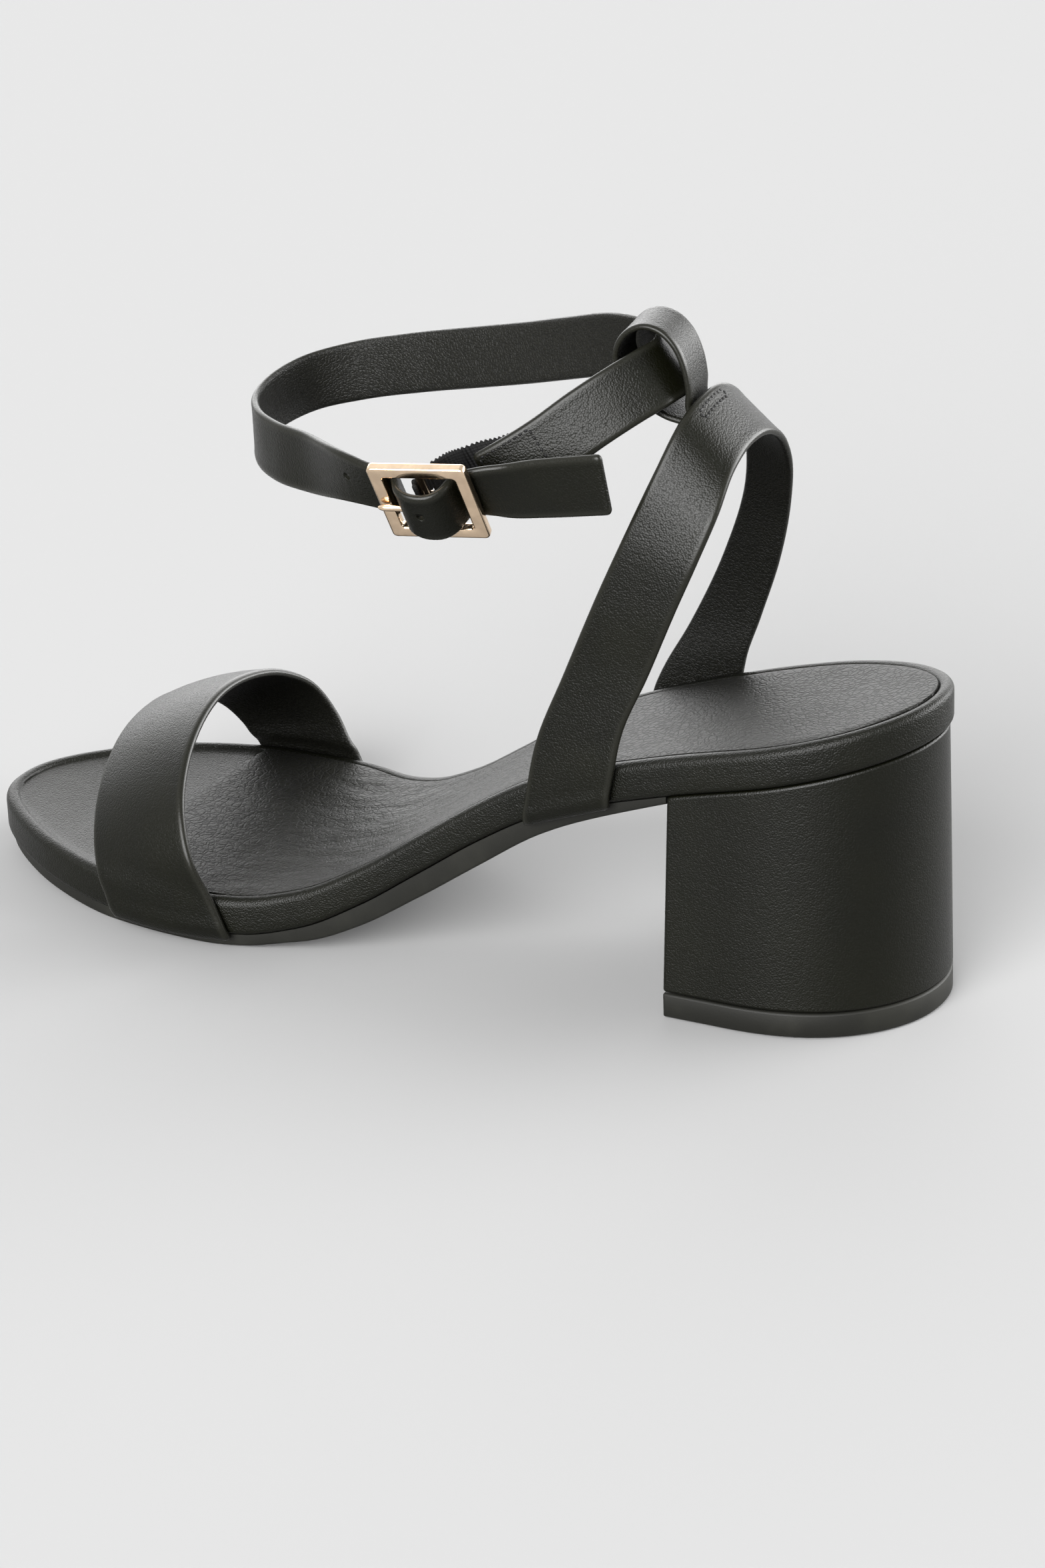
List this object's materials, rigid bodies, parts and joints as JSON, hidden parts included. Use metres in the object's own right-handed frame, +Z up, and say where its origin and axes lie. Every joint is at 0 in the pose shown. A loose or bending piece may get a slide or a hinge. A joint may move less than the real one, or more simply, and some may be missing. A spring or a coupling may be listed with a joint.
{
  "type": "block heel sandal",
  "caption": "Left ankle strap sandal with a broad toe strap, an arched heel strap, a keeper loop, a gold buckle and a flared block heel.",
  "frame": {"origin": "centre of the heel's tread on the floor", "axes": "+Z up, -X towards the toe, -Y towards the outer side of the left foot"},
  "size_m": [0.2359, 0.0895, 0.1494],
  "materials": {
    "leather_black": "fine pebbled grain, satin",
    "leather_lining": "creased soft grain, dull",
    "sole_black": "smooth, dull",
    "metal_pale_gold": "polished pale gold plate",
    "elastic_black": "ribbed woven elastic"
  },
  "bodies": {
    "root": {"footbed": "leather_black", "sock_lining": "leather_lining", "outsole": "sole_black", "heel_block": "leather_black", "top_lift": "sole_black", "vamp_strap": "leather_black", "quarter_strap": "leather_black", "keeper_loop": "leather_black", "ankle_strap": "leather_black", "elastic_gore": "elastic_black", "buckle_frame": "metal_pale_gold", "buckle_prong": "metal_pale_gold"}
  },
  "joints": []
}
